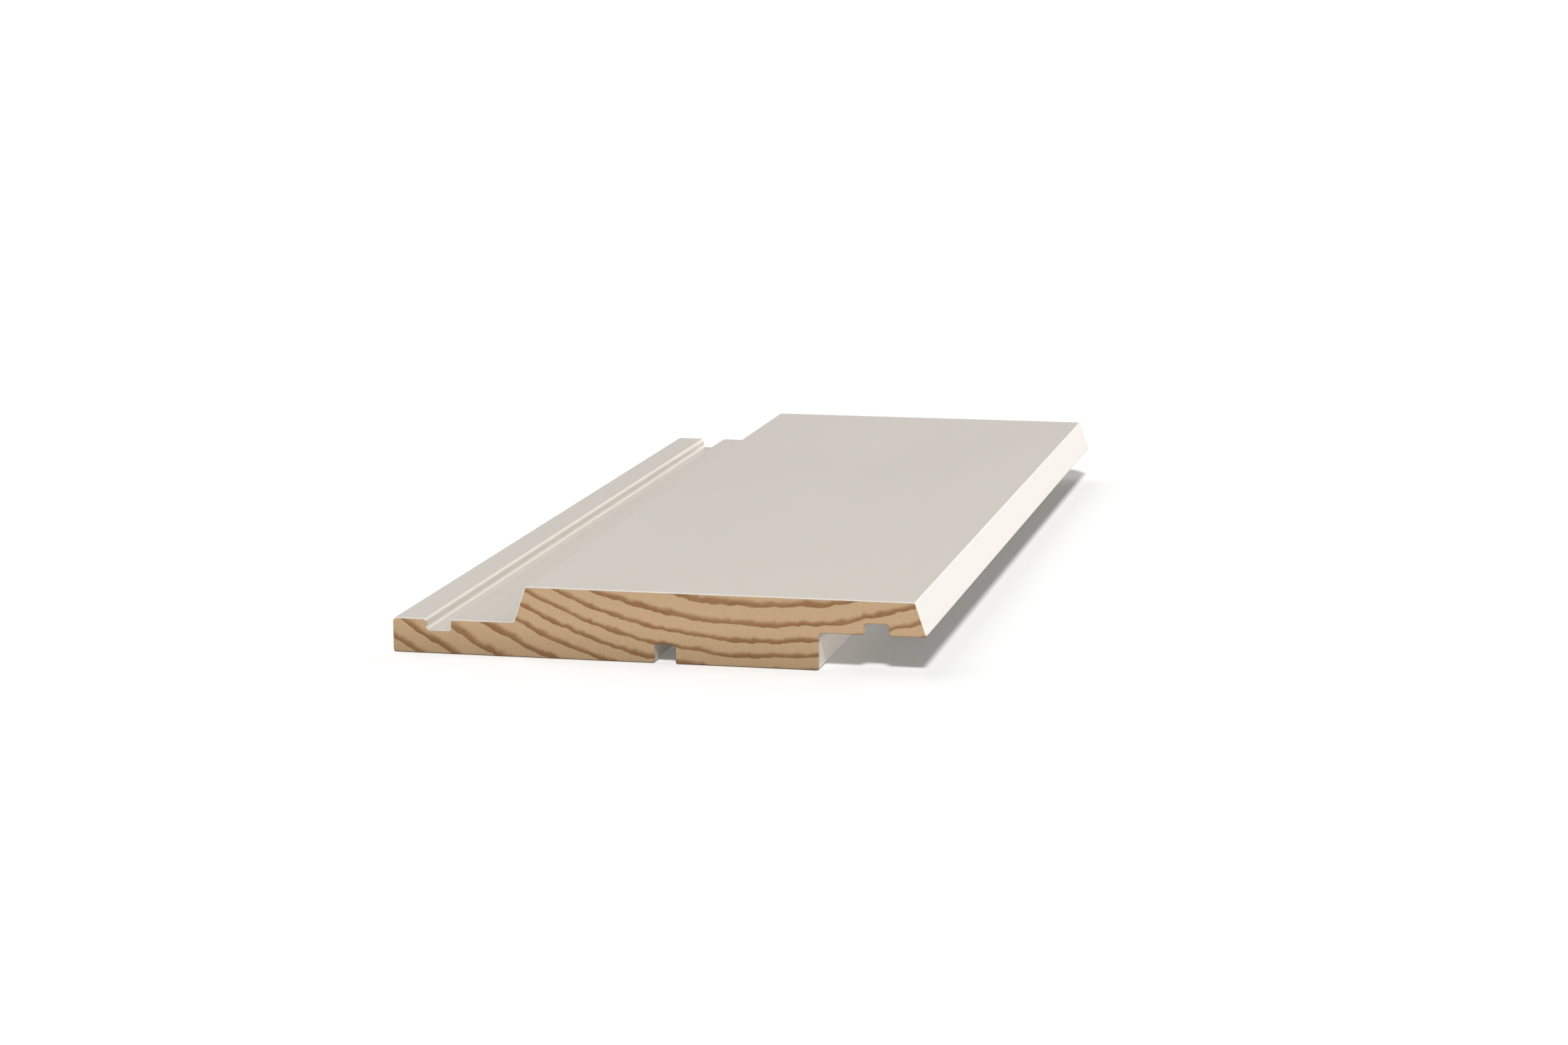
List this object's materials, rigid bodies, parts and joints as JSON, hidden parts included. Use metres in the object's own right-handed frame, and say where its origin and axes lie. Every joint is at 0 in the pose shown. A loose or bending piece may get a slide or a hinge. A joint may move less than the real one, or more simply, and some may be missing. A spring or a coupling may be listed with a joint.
{
  "type": "weatherboard",
  "caption": "Primed timber weatherboard offcut with a rebated lap, sloped shoulder, bevelled drip edge, capillary grooves and a relief groove in its back.",
  "frame": {"origin": "middle of the board's footprint, on the plane of its back", "axes": "+X across the board from the lap to the drip edge, +Y along the grain, +Z from the back to the weather face"},
  "size_m": [0.1398, 0.305, 0.0185],
  "materials": {
    "primed_timber": "satin primer"
  },
  "bodies": {
    "root": {"weatherboard": "primed_timber"}
  },
  "joints": []
}
